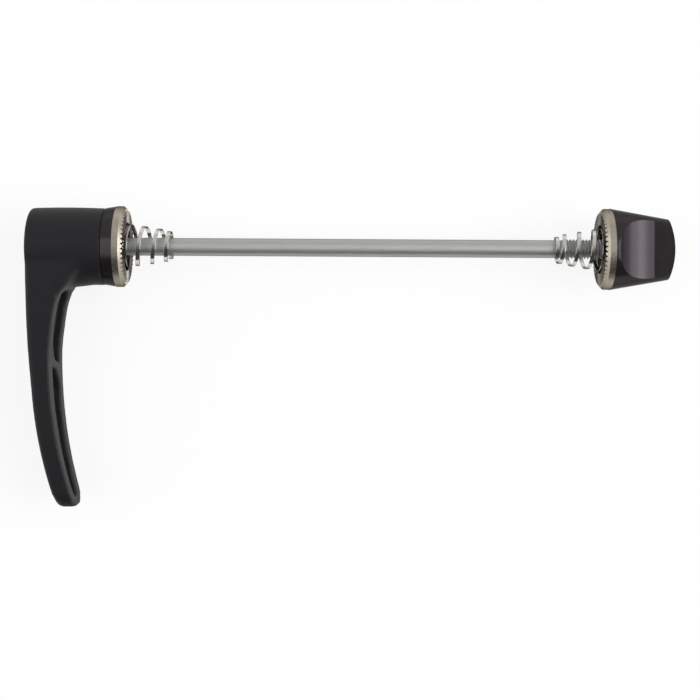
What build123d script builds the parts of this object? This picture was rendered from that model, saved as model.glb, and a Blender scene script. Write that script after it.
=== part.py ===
from build123d import *
import math
import os

# Skewer for a front wheel, in millimetres. X runs along the rod towards the nut, with the origin on the
# rod's axis at the lever-side clamp face. Z is up: the skewer lies on its two rings and on its lever.

# Rod
clamp_span = 117.1
shank_d = 4.43
thread_d = 4.87
nut_thread_length = 23.7
hub_thread_length = 7.2
rod_past_nut_face = 14.7
rod_end_chamfer = 0.5

# Toothed clamp ring, the same at both ends
ring_d = 20.08
ring_thickness = 2.5
ring_hole_d = 12.1
ring_face_d = 18.14
ring_chamfer = 0.95
tooth_count = 48
tooth_depth = 0.45
tooth_groove_share = 0.88
tooth_valley_share = 0.15
tooth_end_land = 0.08
ring_boss_depth = 1.35

# Conical spring of flat strip, the same at both ends, wound left-handed
strip_width = 0.95
strip_thickness = 0.25
spring_turns = 4.9
spring_big_radius = 5.4
spring_small_radius = 3.345
spring_swell = 1.25
spring_open_pitch = 3.65
spring_closed_pitch = 0.6
spring_seat_turns = 0.65
spring_seat_ramp = 0.9
spring_tip_turns = 0.4
spring_tip_ramp = 1.1
spring_seat_gap = 0.02
lever_spring_end_angle = 152.0
nut_spring_end_angle = 137.0
steps_per_turn = 16

# Clamp cone beside the lever
cone_length = 3.05
cone_big_d = 20.0
cone_small_d = 19.04
cone_bore_clearance = 0.06
cone_edge_bevel = 0.15

# Drive hub on the rod's end, with what turns and slides on it
thrust_washer_thickness = 0.8
thrust_washer_d = 14.4
hub_flange_thickness = 1.2
hub_flange_d = 14.8
spline_count = 20
spline_length = 3.65
spline_root_d = 10.6
spline_tip_d = 12.4
spline_root_share = 0.62
spline_tip_share = 0.34
spline_clearance = 0.06
hub_post_d = 6.0
hub_post_length = 8.0
post_clearance = 0.05

# Retaining screw, its washer and the return spring
screw_d = 4.0
screw_length = 5.0
screw_end_room = 0.8
screw_head_d = 7.0
screw_head_thickness = 1.7
screw_socket_flats = 2.5
screw_socket_sides = 6
screw_socket_depth = 1.0
retaining_washer_d = 11.2
retaining_washer_thickness = 0.8
washer_hole_clearance = 0.1
return_wire_d = 0.7
return_wire_sides = 6
return_spring_radius = 4.2
return_spring_turns = 2.5
return_seat_gap = 0.02

# Spline insert keyed into the lever's barrel
insert_flats = 14.8
insert_sides = 12
insert_shoulder = 1.1
insert_seat_gap = 0.05
spline_end_relief = 0.3

# Lever barrel
barrel_gap = 0.15
barrel_outer_face = 23.8
barrel_d = 19.2
barrel_outer_bevel = 0.4
barrel_inner_bevel = 0.15
mouth_d = 16.0
cavity_d = 13.8
cap_d = 15.2
cap_thickness = 1.4
cap_edge_bevel = 0.2

# Lever arm, drawn pointing along -Y
arm_length = 65.3
arm_root_inset = 0.5
arm_root_y = 3.8
arm_side_radius = 560.0
arm_end_corner = 4.8
back_straight = 3.0
back_radius = 490.0
back_bend_y = 37.0
back_tip_radius = 113.5
waist_x = 18.18
waist_y = 29.5
inner_radius = 114.0
neck_radius = 64.0
neck_angle = 15.5
root_radius = 17.0
root_angle = 45.0
back_edge_bevel = 0.85
inner_edge_bevel = 0.6
pocket_depth = 2.2
pocket_rim = 2.1
pocket_end_rim = 2.6
pocket_top_y = 10.4
pocket_corner = 1.3
web_thickness = 2.2
web_y = 29.4
web_slant = 16.6

# Steps that settle the arm on the plane that the rings lie on
lie_steps = 12

# Least part of a face's normal along the rod for it to be the arm's back or inner face
facing = 0.5

# Nut
nut_length = 14.3
nut_big_d = 20.0
nut_small_d = 14.9
nut_dome_radius = 18.5
nut_end_bevel = 0.3
nut_bore_clearance = 0.05
scallop_half_thickness = 4.4
scallop_flat_length = 3.9
scallop_radius = 11.0
lock_insert_d = 7.2
lock_insert_length = 2.5
lock_insert_depth = 5.4

# Places along X that follow from the sizes above, from the clamp face towards the lever
shank_r = shank_d / 2
thread_r = thread_d / 2
ring_r = ring_d / 2
ring_hole_r = ring_hole_d / 2
tooth_root_r = ring_face_d / 2 + (ring_r - ring_face_d / 2) * tooth_depth / ring_chamfer
thread_hole_r = thread_r + nut_bore_clearance
cone_face_x = -ring_thickness
cone_back_x = cone_face_x - cone_length
flange_x = cone_back_x - thrust_washer_thickness
spline_x = flange_x - hub_flange_thickness
spline_end_x = spline_x - spline_length
post_end_x = spline_end_x - hub_post_length
washer_end_x = post_end_x - retaining_washer_thickness
screw_end_x = washer_end_x + screw_length
screw_top_x = washer_end_x - screw_head_thickness
insert_x = spline_x - insert_seat_gap
insert_shoulder_x = insert_x - spline_length - spline_end_relief
insert_back_x = insert_shoulder_x - insert_shoulder
barrel_inner_x = cone_back_x - barrel_gap
barrel_outer_x = -barrel_outer_face
arm_root_width = barrel_d - 2 * arm_root_inset
cap_seat_x = barrel_outer_x + cap_thickness
rod_end_x = clamp_span + rod_past_nut_face
nut_face_x = clamp_span + ring_thickness
nut_end_x = nut_face_x + nut_length
lock_seat_x = nut_end_x - lock_insert_depth


def turned(points):
    """A solid of revolution about the rod's axis, from (x, radius) points."""
    return revolve(make_face(Polyline(points, close=True)), Axis.X)


def bar(start, end, radius):
    """A plain round bar on the rod's axis."""
    return turned([(start, 0), (end, 0), (end, radius), (start, radius)])


def tube(start, end, outer, inner):
    """A plain ring on the rod's axis."""
    return turned([(start, inner), (end, inner), (end, outer), (start, outer)])


def prism(outline, start, end):
    """An outline drawn across the rod's axis, drawn out from one X to another."""
    return extrude(Plane.YZ.offset(start) * outline, amount=end - start)


def faced_to_nut(shape):
    """Turns a piece of the lever's end round, so that it faces the lever from the nut's end."""
    return Pos(X=clamp_span) * Rot(Y=180) * shape


def skewer_rod():
    """The rod, with its thread's full diameter at both ends."""
    hub_end_x = flange_x - hub_thread_length
    thread_start_x = rod_end_x - nut_thread_length
    profile = [
        (hub_end_x, 0),
        (hub_end_x, thread_r - rod_end_chamfer),
        (hub_end_x + rod_end_chamfer, thread_r),
        (flange_x, thread_r),
        (flange_x, shank_r),
        (thread_start_x, shank_r),
        (thread_start_x + thread_r - shank_r, thread_r),
        (rod_end_x - rod_end_chamfer, thread_r),
        (rod_end_x, thread_r - rod_end_chamfer),
        (rod_end_x, 0),
    ]
    return turned(profile)


def tooth_flank():
    """Block whose slanting side is one flank of a tooth that lies along +Y."""
    half_pitch = math.pi * ring_hole_r / tooth_count
    valley = tooth_valley_share * half_pitch
    groove = tooth_groove_share * half_pitch
    section = [
        (-tooth_depth, -valley),
        (tooth_depth, valley - 2 * groove),
        (tooth_depth, ring_hole_r),
        (-tooth_depth, ring_hole_r),
    ]
    block = extrude(Plane.XZ * make_face(Polyline(section, close=True)), amount=-ring_d)
    return Rot(X=180 / tooth_count) * block


def ring_tooth():
    """One wedge-shaped tooth of the clamp ring, along +Y, its outer end sloped as the ring's chamfer is."""
    inner_y = ring_hole_r + tooth_end_land
    side_view = [
        (-tooth_depth, inner_y),
        (0, inner_y),
        (0, ring_face_d / 2 - tooth_end_land),
        (-tooth_depth, tooth_root_r - tooth_end_land),
    ]
    half_width = math.pi * tooth_root_r / tooth_count
    ridge = extrude(make_face(Polyline(side_view, close=True)), amount=half_width, both=True)
    flank = tooth_flank()
    return ridge - flank - mirror(flank, Plane.XY)


def serrated_ring():
    """The steel clamp ring: a chamfered rim and radial teeth round its hole."""
    blank = turned(
        [
            (-ring_thickness, ring_hole_r),
            (-tooth_depth, ring_hole_r),
            (-tooth_depth, tooth_root_r),
            (-ring_chamfer, ring_r),
            (-ring_thickness, ring_r),
        ]
    )
    tooth = ring_tooth()
    return blank + [Rot(X=360 * i / tooth_count) * tooth for i in range(tooth_count)]


def spring_pitch(turn):
    """Rise per turn of the conical spring, which closes up towards both ends."""
    from_seat = (turn - spring_seat_turns) / spring_seat_ramp
    from_tip = (spring_turns - turn - spring_tip_turns) / spring_tip_ramp
    opened = min(max(min(from_seat, from_tip), 0), 1)
    return spring_closed_pitch + (spring_open_pitch - spring_closed_pitch) * opened


def strip_section(x, radius, angle):
    """Corners of the spring strip's cross-section, in the plane through the rod's axis at an angle."""
    low = x - strip_width / 2
    high = x + strip_width / 2
    inner = radius - strip_thickness / 2
    outer = radius + strip_thickness / 2
    corners = ((low, inner), (high, inner), (high, outer), (low, outer))
    return [(along, r * math.cos(angle), r * math.sin(angle)) for along, r in corners]


def facet(*corners):
    """One flat face between corners."""
    return make_face(Polyline(*corners, close=True))


def strip_coil(sections):
    """Strip that runs in flat facets from each of its cross-sections to the next."""
    faces = [facet(*sections[0]), facet(*sections[-1])]
    for near, far in zip(sections, sections[1:]):
        for i, corner in enumerate(near):
            j = (i + 1) % len(near)
            faces.append(facet(corner, near[j], far[i]))
            faces.append(facet(near[j], far[j], far[i]))
    return Solid(Shell(faces))


def conical_spring(end_angle):
    """The conical spring, standing on the ring's boss with its small end, at end_angle, towards the nut."""
    steps = round(spring_turns * steps_per_turn)
    step = spring_turns / steps
    x = -ring_boss_depth + strip_width / 2 + spring_seat_gap
    sections = []
    for i in range(steps + 1):
        turn = i * step
        narrowing = 1 - (1 - turn / spring_turns) ** (1 / spring_swell)
        radius = spring_big_radius - (spring_big_radius - spring_small_radius) * narrowing
        angle = math.radians(end_angle + 360 * (spring_turns - turn))
        sections.append(strip_section(x, radius, angle))
        x += spring_pitch(turn + step / 2) * step
    return strip_coil(sections)


def clamp_cone():
    """The cone that carries the lever-side ring on its boss."""
    bore_r = thread_r + cone_bore_clearance
    return turned(
        [
            (cone_back_x, bore_r),
            (-ring_boss_depth, bore_r),
            (-ring_boss_depth, ring_hole_r),
            (cone_face_x, ring_hole_r),
            (cone_face_x, cone_big_d / 2),
            (cone_back_x + cone_edge_bevel, cone_small_d / 2),
            (cone_back_x, cone_small_d / 2 - cone_edge_bevel),
        ]
    )


def spline_outline(clearance):
    """Outline of the splines, grown by a clearance for the ring that slides on them."""
    root_r = spline_root_d / 2 + clearance
    tip_r = spline_tip_d / 2 + clearance
    pitch = 2 * math.pi / spline_count
    root_half = pitch * spline_root_share / 2 + clearance / root_r
    tip_half = pitch * spline_tip_share / 2 + clearance / tip_r
    corners = ((root_r, -root_half), (tip_r, -tip_half), (tip_r, tip_half), (root_r, root_half))
    points = []
    for i in range(spline_count):
        for radius, offset in corners:
            angle = i * pitch + offset
            points.append((radius * math.cos(angle), radius * math.sin(angle)))
    return make_face(Polyline(points, close=True))


def drive_hub():
    """The hub bonded on the rod's end: flange, splines and the return spring's post."""
    flange = bar(flange_x, spline_x, hub_flange_d / 2)
    splines = prism(spline_outline(0), spline_x, spline_end_x)
    post = bar(spline_end_x, post_end_x, hub_post_d / 2)
    rod_hole = bar(flange_x, flange_x - hub_thread_length, thread_r)
    screw_hole = bar(post_end_x, screw_end_x + screw_end_room, screw_d / 2)
    return flange + splines + post - rod_hole - screw_hole


def retaining_screw():
    """Low-headed screw with a hexagon socket."""
    head = bar(screw_top_x, washer_end_x, screw_head_d / 2)
    shank = bar(washer_end_x, screw_end_x, screw_d / 2)
    socket = RegularPolygon(screw_socket_flats / 2, screw_socket_sides, major_radius=False)
    return head + shank - prism(socket, screw_top_x, screw_top_x + screw_socket_depth)


def return_spring():
    """Coil spring round the hub's post, between the insert's shoulder and the retaining washer."""
    seat = return_wire_d / 2 + return_seat_gap
    length = insert_back_x - post_end_x - 2 * seat
    steps = round(return_spring_turns * steps_per_turn)
    points = []
    for i in range(steps + 1):
        along = i / steps
        angle = 2 * math.pi * return_spring_turns * along
        y = return_spring_radius * math.cos(angle)
        z = return_spring_radius * math.sin(angle)
        points.append((post_end_x + seat + length * along, y, z))
    line = Polyline(points)
    wire = Plane(line @ 0, z_dir=line % 0) * RegularPolygon(return_wire_d / 2, return_wire_sides)
    return sweep(wire, path=line, transition=Transition.RIGHT)


def insert_outline():
    """Outline of the spline insert, and of its seat in the barrel."""
    return RegularPolygon(insert_flats / 2, insert_sides, major_radius=False)


def spline_insert():
    """Steel ring moulded into the barrel, with splines inside and a shoulder for the return spring."""
    blank = prism(insert_outline(), insert_back_x, insert_x)
    splines = prism(spline_outline(spline_clearance), insert_shoulder_x, insert_x)
    return blank - splines - bar(insert_back_x, insert_x, hub_post_d / 2 + post_clearance)


def inner_contour(depth):
    """Inner face of the arm as arcs up and down from its waist, or those arcs a depth below that face."""
    waist = (-waist_x - depth, -waist_y)
    sweep_down = math.degrees(math.asin((arm_length - waist_y) / inner_radius))
    lower = JernArc(waist, (0, -1), inner_radius + depth, sweep_down)
    neck = JernArc(waist, (0, 1), neck_radius + depth, -neck_angle)
    root = JernArc(neck @ 1, neck % 1, root_radius + depth, -root_angle)
    return lower, neck, root


def arm_side():
    """Side view of the arm, between its back and its inner face."""
    lower, neck, root = inner_contour(0)
    back = Line((barrel_outer_x, 0), (barrel_outer_x, -back_straight))
    bend = math.asin((back_bend_y - back_straight) / back_radius)
    tip_bend = math.asin(math.sin(bend) + (arm_length - back_bend_y) / back_tip_radius) - bend
    back_curve = JernArc(back @ 1, (0, -1), back_radius, math.degrees(bend))
    tip_curve = JernArc(back_curve @ 1, back_curve % 1, back_tip_radius, math.degrees(tip_bend))
    root_end = root @ 1
    edges = [
        back,
        back_curve,
        tip_curve,
        Line(tip_curve @ 1, lower @ 1),
        lower,
        neck,
        root,
        Line(root_end, (root_end.X, 0)),
        Line((root_end.X, 0), back @ 0),
    ]
    return make_face(edges)


def arm_front(rim, end_rim):
    """Front view of the arm, drawn with its length along -X, or that outline inside a rim."""
    half_width = arm_root_width / 2 - rim
    side_radius = arm_side_radius - rim
    end_x = -arm_length + end_rim
    sweep_in = math.degrees(math.asin((-end_x - arm_root_y) / side_radius))
    straight = Line((0, half_width), (-arm_root_y, half_width))
    side = JernArc(straight @ 1, (-1, 0), side_radius, sweep_in)
    side_end = side @ 1
    half = make_face(
        [
            straight,
            side,
            Line(side_end, (side_end.X, 0)),
            Line((side_end.X, 0), (0, 0)),
            Line((0, 0), (0, half_width)),
        ]
    )
    return half + mirror(half, Plane.XZ)


def lever_pockets():
    """The two lightening pockets of the arm's inner face, either side of the slanting web."""
    lower, neck, root = inner_contour(pocket_depth)
    open_x = (root @ 1).X
    edges = [
        lower,
        neck,
        root,
        Line(root @ 1, (open_x, (lower @ 1).Y)),
        Line((open_x, (lower @ 1).Y), lower @ 1),
    ]
    above_floor = extrude(make_face(edges), amount=arm_root_width, both=True)
    root_part = Pos(X=-pocket_top_y / 2) * Rectangle(pocket_top_y, arm_root_width)
    web = Pos(X=-web_y) * Rot(Z=-web_slant) * Rectangle(web_thickness, 2 * arm_root_width)
    plan = arm_front(pocket_rim, pocket_end_rim) - root_part - web
    return above_floor & prism(fillet(plan.vertices(), pocket_corner), barrel_outer_x, 0)


def outer_rim(faces):
    """The edges along the sides and the end of the arm, without the straight seams that cross it."""
    edges = faces.edges().filter_by(lambda e: e.center().Y < -arm_root_y)
    sides = edges.filter_by(GeomType.LINE, reverse=True)
    end = edges.group_by(Axis.Y)[0]
    return ShapeList(set(sides + end))


def lever_arm():
    """The arm: its side view and front view drawn through each other, with its edges broken."""
    side = extrude(arm_side(), amount=arm_root_width, both=True)
    outline = arm_front(0, 0)
    outline = fillet(outline.vertices().group_by(Axis.X)[0], arm_end_corner)
    arm = side & prism(outline, 2 * barrel_outer_x, 0)
    back = arm.faces().filter_by(lambda f: f.normal_at().X < -facing)
    arm = chamfer(outer_rim(back), back_edge_bevel)
    inner = arm.faces().filter_by(lambda f: f.normal_at().X > facing)
    return chamfer(outer_rim(inner), inner_edge_bevel)


def lever_barrel():
    """The barrel, with its two rims broken."""
    radius = barrel_d / 2
    return turned(
        [
            (barrel_outer_x, 0),
            (barrel_outer_x, radius - barrel_outer_bevel),
            (barrel_outer_x + barrel_outer_bevel, radius),
            (barrel_inner_x - barrel_inner_bevel, radius),
            (barrel_inner_x, radius - barrel_inner_bevel),
            (barrel_inner_x, 0),
        ]
    )


def lever_hollows():
    """What is cut out of the barrel along its axis: mouth, insert seat, spring space and cap seat."""
    mouth = bar(insert_x, barrel_inner_x, mouth_d / 2)
    seat = prism(insert_outline(), insert_back_x, insert_x)
    cavity = bar(cap_seat_x, insert_back_x, cavity_d / 2)
    cap_seat = bar(barrel_outer_x, cap_seat_x, cap_d / 2)
    return [mouth, seat, cavity, cap_seat]


def end_cap():
    """Cap pressed into the barrel's outer end."""
    return turned(
        [
            (barrel_outer_x, 0),
            (barrel_outer_x, cap_d / 2 - cap_edge_bevel),
            (barrel_outer_x + cap_edge_bevel, cap_d / 2),
            (cap_seat_x, cap_d / 2),
            (cap_seat_x, 0),
        ]
    )


def lying_roll(arm):
    """Turn about the rod's axis, in degrees, that lays the arm on the plane under the rings."""
    roll = 0.0
    for _ in range(lie_steps):
        gap = (Rot(X=roll) * arm).bounding_box().min.Z + ring_r
        roll += math.degrees(gap / (arm_length / 2))
    return roll


def nut_body():
    """The conical nut, with a domed end, a finger scallop on two sides and a seat for its lock insert."""
    boss_x = clamp_span + ring_boss_depth
    dome_start = (nut_end_x, nut_small_d / 2)
    dome_centre_x = nut_end_x - math.sqrt(nut_dome_radius**2 - (nut_small_d / 2) ** 2)
    hole_x = dome_centre_x + math.sqrt(nut_dome_radius**2 - (lock_insert_d / 2) ** 2)
    profile = Polyline(
        (hole_x, lock_insert_d / 2),
        (lock_seat_x, lock_insert_d / 2),
        (lock_seat_x, thread_hole_r),
        (boss_x, thread_hole_r),
        (boss_x, ring_hole_r),
        (nut_face_x, ring_hole_r),
        (nut_face_x, nut_big_d / 2),
        dome_start,
    )
    dome = RadiusArc(dome_start, profile @ 0, nut_dome_radius)
    blank = revolve(make_face([profile, dome]), Axis.X)
    flat_x = nut_end_x - scallop_flat_length
    top_z = scallop_half_thickness + scallop_radius
    flat = Line((nut_end_x + scallop_radius, scallop_half_thickness), (flat_x, scallop_half_thickness))
    hollow = JernArc(flat @ 1, (-1, 0), scallop_radius, -90)
    corner = (nut_end_x + scallop_radius, top_z)
    outline = make_face([flat, hollow, Line(hollow @ 1, corner), Line(corner, flat @ 0)])
    scallop = extrude(Plane.XZ * outline, amount=nut_big_d, both=True)
    nut = blank - scallop - Rot(X=180) * scallop
    end_rim = nut.faces().sort_by(Axis.X)[-1].outer_wire().edges()
    return chamfer(end_rim, nut_end_bevel)


def nut_lock_insert():
    """Nylon ring pressed into the nut behind its thread."""
    return tube(lock_seat_x, lock_seat_x + lock_insert_length, lock_insert_d / 2, thread_hole_r)


arm = lever_arm()
roll = Rot(X=lying_roll(arm))
lever = lever_barrel() + arm - lever_pockets() - lever_hollows()
ring = serrated_ring()

pieces = {
    "skewer_rod": skewer_rod(),
    "drive_hub": roll * drive_hub(),
    "thrust_washer": tube(flange_x, cone_back_x, thrust_washer_d / 2, thread_r + cone_bore_clearance),
    "clamp_cone": clamp_cone(),
    "lever_serrated_ring": ring,
    "lever_side_spring": conical_spring(lever_spring_end_angle),
    "lever": roll * lever,
    "lever_spline_insert": roll * spline_insert(),
    "return_spring": return_spring(),
    "retaining_washer": tube(
        washer_end_x, post_end_x, retaining_washer_d / 2, screw_d / 2 + washer_hole_clearance
    ),
    "retaining_screw": retaining_screw(),
    "end_cap": roll * end_cap(),
    "nut_body": nut_body(),
    "nut_serrated_ring": faced_to_nut(ring),
    "nut_lock_insert": nut_lock_insert(),
    "nut_side_spring": faced_to_nut(conical_spring(-nut_spring_end_angle)),
}

os.makedirs("parts", exist_ok=True)
for name, piece in pieces.items():
    export_step(piece, f"parts/{name}.step")
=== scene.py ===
import logging
import math
from dataclasses import dataclass, field
from enum import Enum
from typing import Any

import bmesh
import bpy
from bmesh.types import BMEdge, BMesh, BMVert
from bpy.types import Material, Mesh, Node, NodeSocket, NodeTree, Object
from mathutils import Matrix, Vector
from mathutils.bvhtree import BVHTree


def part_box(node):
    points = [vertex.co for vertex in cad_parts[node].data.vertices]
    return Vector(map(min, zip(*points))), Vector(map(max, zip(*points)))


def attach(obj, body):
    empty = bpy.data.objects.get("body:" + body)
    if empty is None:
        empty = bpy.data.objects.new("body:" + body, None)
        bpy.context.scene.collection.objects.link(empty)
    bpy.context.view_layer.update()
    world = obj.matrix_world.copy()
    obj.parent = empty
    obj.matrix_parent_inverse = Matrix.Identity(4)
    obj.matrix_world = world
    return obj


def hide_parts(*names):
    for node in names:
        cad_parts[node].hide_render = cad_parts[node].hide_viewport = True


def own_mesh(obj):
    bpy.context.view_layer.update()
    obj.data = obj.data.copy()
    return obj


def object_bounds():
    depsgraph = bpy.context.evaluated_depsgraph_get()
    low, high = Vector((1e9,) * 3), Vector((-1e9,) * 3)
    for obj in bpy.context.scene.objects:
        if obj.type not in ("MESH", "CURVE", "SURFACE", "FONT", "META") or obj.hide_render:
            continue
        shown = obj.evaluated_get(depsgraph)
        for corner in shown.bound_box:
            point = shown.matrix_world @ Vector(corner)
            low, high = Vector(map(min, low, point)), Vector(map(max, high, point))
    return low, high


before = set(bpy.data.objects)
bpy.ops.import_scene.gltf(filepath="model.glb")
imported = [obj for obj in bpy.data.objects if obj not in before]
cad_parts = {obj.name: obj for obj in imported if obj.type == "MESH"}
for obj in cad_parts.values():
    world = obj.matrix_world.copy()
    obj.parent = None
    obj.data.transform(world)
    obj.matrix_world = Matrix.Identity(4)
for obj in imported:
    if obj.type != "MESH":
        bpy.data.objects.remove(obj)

MM = 0.001
WELD = MM / 10000
NEAR = MM / 100
CAD_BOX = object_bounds()

# A Wave texture's bands turn by this many radians per unit of its scale.
WAVE_RADIANS = 20

Point = tuple[float, float]
Spot = tuple[float, float, float]

log = logging.getLogger("skewer")


class Body(Enum):
    """The bodies of the frame that new pieces ride on."""

    ROD = "rod"
    CLAMP_WASHER = "clamp_washer"
    LEVER = "lever"
    NUT_SPRING = "nut_spring"
    NUT = "nut"


def linear(colour: str) -> tuple[float, float, float, float]:
    """Turns an sRGB hex colour into linear values, by the sRGB standard's own numbers.

    Args:
        colour: Six hex digits after a hash.

    Returns:
        Linear red, green and blue, with full alpha.
    """
    shares = [int(colour[i:i + 2], 16) / 255 for i in (1, 3, 5)]
    red, green, blue = (s / 12.92 if s <= 0.04045 else ((s + 0.055) / 1.055) ** 2.4 for s in shares)
    return red, green, blue, 1.0


def per_metre(size_mm: float) -> float:
    """Returns the texture scale whose pattern repeats about every size_mm."""
    return 1 / (size_mm * MM)


def lines_per_metre(line_mm: float) -> float:
    """Returns the scale at which a Wave texture draws one line every line_mm."""
    return math.tau / (WAVE_RADIANS * line_mm * MM)


def add_node(tree: NodeTree, kind: str, inputs: dict[Any, Any], **settings: Any) -> Node:
    """Adds a node, sets it up and links it.

    Args:
        tree: The node tree to add to.
        kind: The node's type.
        inputs: Values or output sockets, by input name or number.
        **settings: Attributes of the node.

    Returns:
        The new node.
    """
    node = tree.nodes.new(kind)
    for name, value in settings.items():
        setattr(node, name, value)
    for key, value in inputs.items():
        if isinstance(value, NodeSocket):
            tree.links.new(value, node.inputs[key])
        else:
            node.inputs[key].default_value = value
    return node


def share_of(value: float, start: float, end: float) -> float:
    """Returns how far value lies on the way from start to end, from 0 to 1."""
    return min(max((value - start) / (end - start), 0), 1)


def ease(value: float, start: float, end: float) -> float:
    """Returns a smooth share from 0 at start to 1 at end."""
    share = share_of(value, start, end)
    return share * share * (3 - 2 * share)


def place(name: str, mesh: Mesh) -> Object:
    """Puts a finished mesh in the scene at the origin.

    Args:
        name: The piece's name.
        mesh: Its mesh, already in place in the frame.

    Returns:
        The new object.
    """
    piece = bpy.data.objects.new(name, mesh)
    bpy.context.scene.collection.objects.link(piece)
    return piece


def evaluated_mesh(source: Object) -> Mesh:
    """Makes a plain mesh of an object with its modifiers applied.

    Args:
        source: The object, which is removed.

    Returns:
        The mesh.
    """
    bpy.context.view_layer.update()
    graph = bpy.context.evaluated_depsgraph_get()
    mesh = bpy.data.meshes.new_from_object(source.evaluated_get(graph))
    bpy.data.objects.remove(source)
    return mesh


def to_mesh(bm: BMesh, name: str) -> Mesh:
    """Makes a mesh of a bmesh.

    Args:
        bm: The bmesh, which is freed.
        name: The mesh's name.

    Returns:
        The mesh.
    """
    mesh = bpy.data.meshes.new(name)
    bm.to_mesh(mesh)
    bm.free()
    return mesh


def extruded(bm: BMesh, loop: list[BMEdge]) -> tuple[list[BMEdge], list[BMVert]]:
    """Extrudes a loop of edges, in place.

    Args:
        bm: The mesh.
        loop: The loop's edges.

    Returns:
        The new loop's edges and its corners.
    """
    grown = bmesh.ops.extrude_edge_only(bm, edges=loop)["geom"]
    return [g for g in grown if isinstance(g, BMEdge)], [g for g in grown if isinstance(g, BMVert)]


@dataclass
class Nodes:
    """A material's nodes as they are laid out: the tree, its shader and the object coordinates, in metres."""

    tree: NodeTree
    shader: Node
    where: NodeSocket


@dataclass(frozen=True)
class Finish:
    """A finish named for its real material, with the values that every finish has.

    A pattern's values lie mostly within pattern_range. Over that range the roughness goes from smoother below
    its own value to rougher above it. The relief is the share of the bump that shows.
    """

    name: str
    colour: str
    roughness: float
    metallic: float = 0.0
    ior: float = 1.5
    specular: float = 0.5
    edge_tint: str = "#ffffff"
    anisotropy: float = 0.0
    smoother: float = 0.05
    rougher: float = 0.05
    relief: float = 0.0
    pattern_range: Point = (0.3, 0.7)

    def material(self) -> Material:
        """Gives the finish as a node material, which is made on first use.

        Returns:
            The material.
        """
        made = bpy.data.materials.get(self.name)
        if made is not None:
            return made
        made = bpy.data.materials.new(self.name)
        made.use_nodes = True
        tree = made.node_tree
        tree.nodes.clear()
        shader = add_node(tree, "ShaderNodeBsdfPrincipled", {
            "Base Color": linear(self.colour),
            "Roughness": self.roughness,
            "Metallic": self.metallic,
            "IOR": self.ior,
            "Specular IOR Level": self.specular,
            "Specular Tint": linear(self.edge_tint),
            "Anisotropic": self.anisotropy,
        })
        add_node(tree, "ShaderNodeOutputMaterial", {"Surface": shader.outputs["BSDF"]})
        where = add_node(tree, "ShaderNodeTexCoord", {}).outputs["Object"]
        self.detail(Nodes(tree, shader, where))
        return made

    def detail(self, nodes: Nodes) -> None:
        """Adds the finish's own pattern.

        Args:
            nodes: The material's nodes.
        """
        raise NotImplementedError

    def vary(self, nodes: Nodes, pattern: NodeSocket) -> None:
        """Spreads the roughness over a pattern.

        Args:
            nodes: The material's nodes.
            pattern: The pattern, around one half.
        """
        start, end = self.pattern_range
        spread = add_node(nodes.tree, "ShaderNodeMapRange", {
            "Value": pattern, "From Min": start, "From Max": end,
            "To Min": self.roughness - self.smoother, "To Max": self.roughness + self.rougher})
        nodes.tree.links.new(spread.outputs["Result"], nodes.shader.inputs["Roughness"])

    def bump(self, nodes: Nodes, height: NodeSocket, depth_mm: float) -> None:
        """Links a height pattern to the shader's normal.

        Args:
            nodes: The material's nodes.
            height: The pattern.
            depth_mm: Depth of the pattern.
        """
        bumped = add_node(nodes.tree, "ShaderNodeBump", {
            "Height": height, "Strength": self.relief, "Distance": depth_mm * MM})
        nodes.tree.links.new(bumped.outputs["Normal"], nodes.shader.inputs["Normal"])

    def mottle(self, nodes: Nodes, pattern: NodeSocket, other: str) -> NodeSocket:
        """Drifts the base colour towards another one.

        Args:
            nodes: The material's nodes.
            pattern: The pattern, around one half.
            other: The colour at the pattern's high end.

        Returns:
            The colour that drifts.
        """
        blend = add_node(nodes.tree, "ShaderNodeMix", {
            "Factor": pattern, "A": linear(self.colour), "B": linear(other)}, data_type="RGBA").outputs[2]
        nodes.tree.links.new(blend, nodes.shader.inputs["Base Color"])
        return blend


@dataclass(frozen=True)
class MouldedNylon(Finish):
    """Glass-filled nylon from a spark-eroded mould: matt black, with a fine grain and a slight drift of sheen.

    The real grain is about 0.1 mm and too fine to show, so it is drawn at grain_mm.
    """

    name: str = "glass_filled_nylon_moulded"
    colour: str = "#131014"
    roughness: float = 0.6
    specular: float = 0.31
    smoother: float = 0.02
    rougher: float = 0.03
    relief: float = 0.25
    paler: str = "#1a171b"
    grain_mm: float = 0.35
    grain_depth_mm: float = 0.03
    drift_mm: float = 7.0

    def detail(self, nodes: Nodes) -> None:
        """Adds the moulded grain and the drift of its sheen.

        Args:
            nodes: The material's nodes.
        """
        grain = add_node(nodes.tree, "ShaderNodeTexNoise", {
            "Vector": nodes.where, "Scale": per_metre(self.grain_mm), "Detail": 2.0})
        drift = add_node(nodes.tree, "ShaderNodeTexNoise", {
            "Vector": nodes.where, "Scale": per_metre(self.drift_mm), "Detail": 3.0})
        self.bump(nodes, grain.outputs["Fac"], self.grain_depth_mm)
        self.vary(nodes, drift.outputs["Fac"])
        self.mottle(nodes, drift.outputs["Fac"], self.paler)


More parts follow.
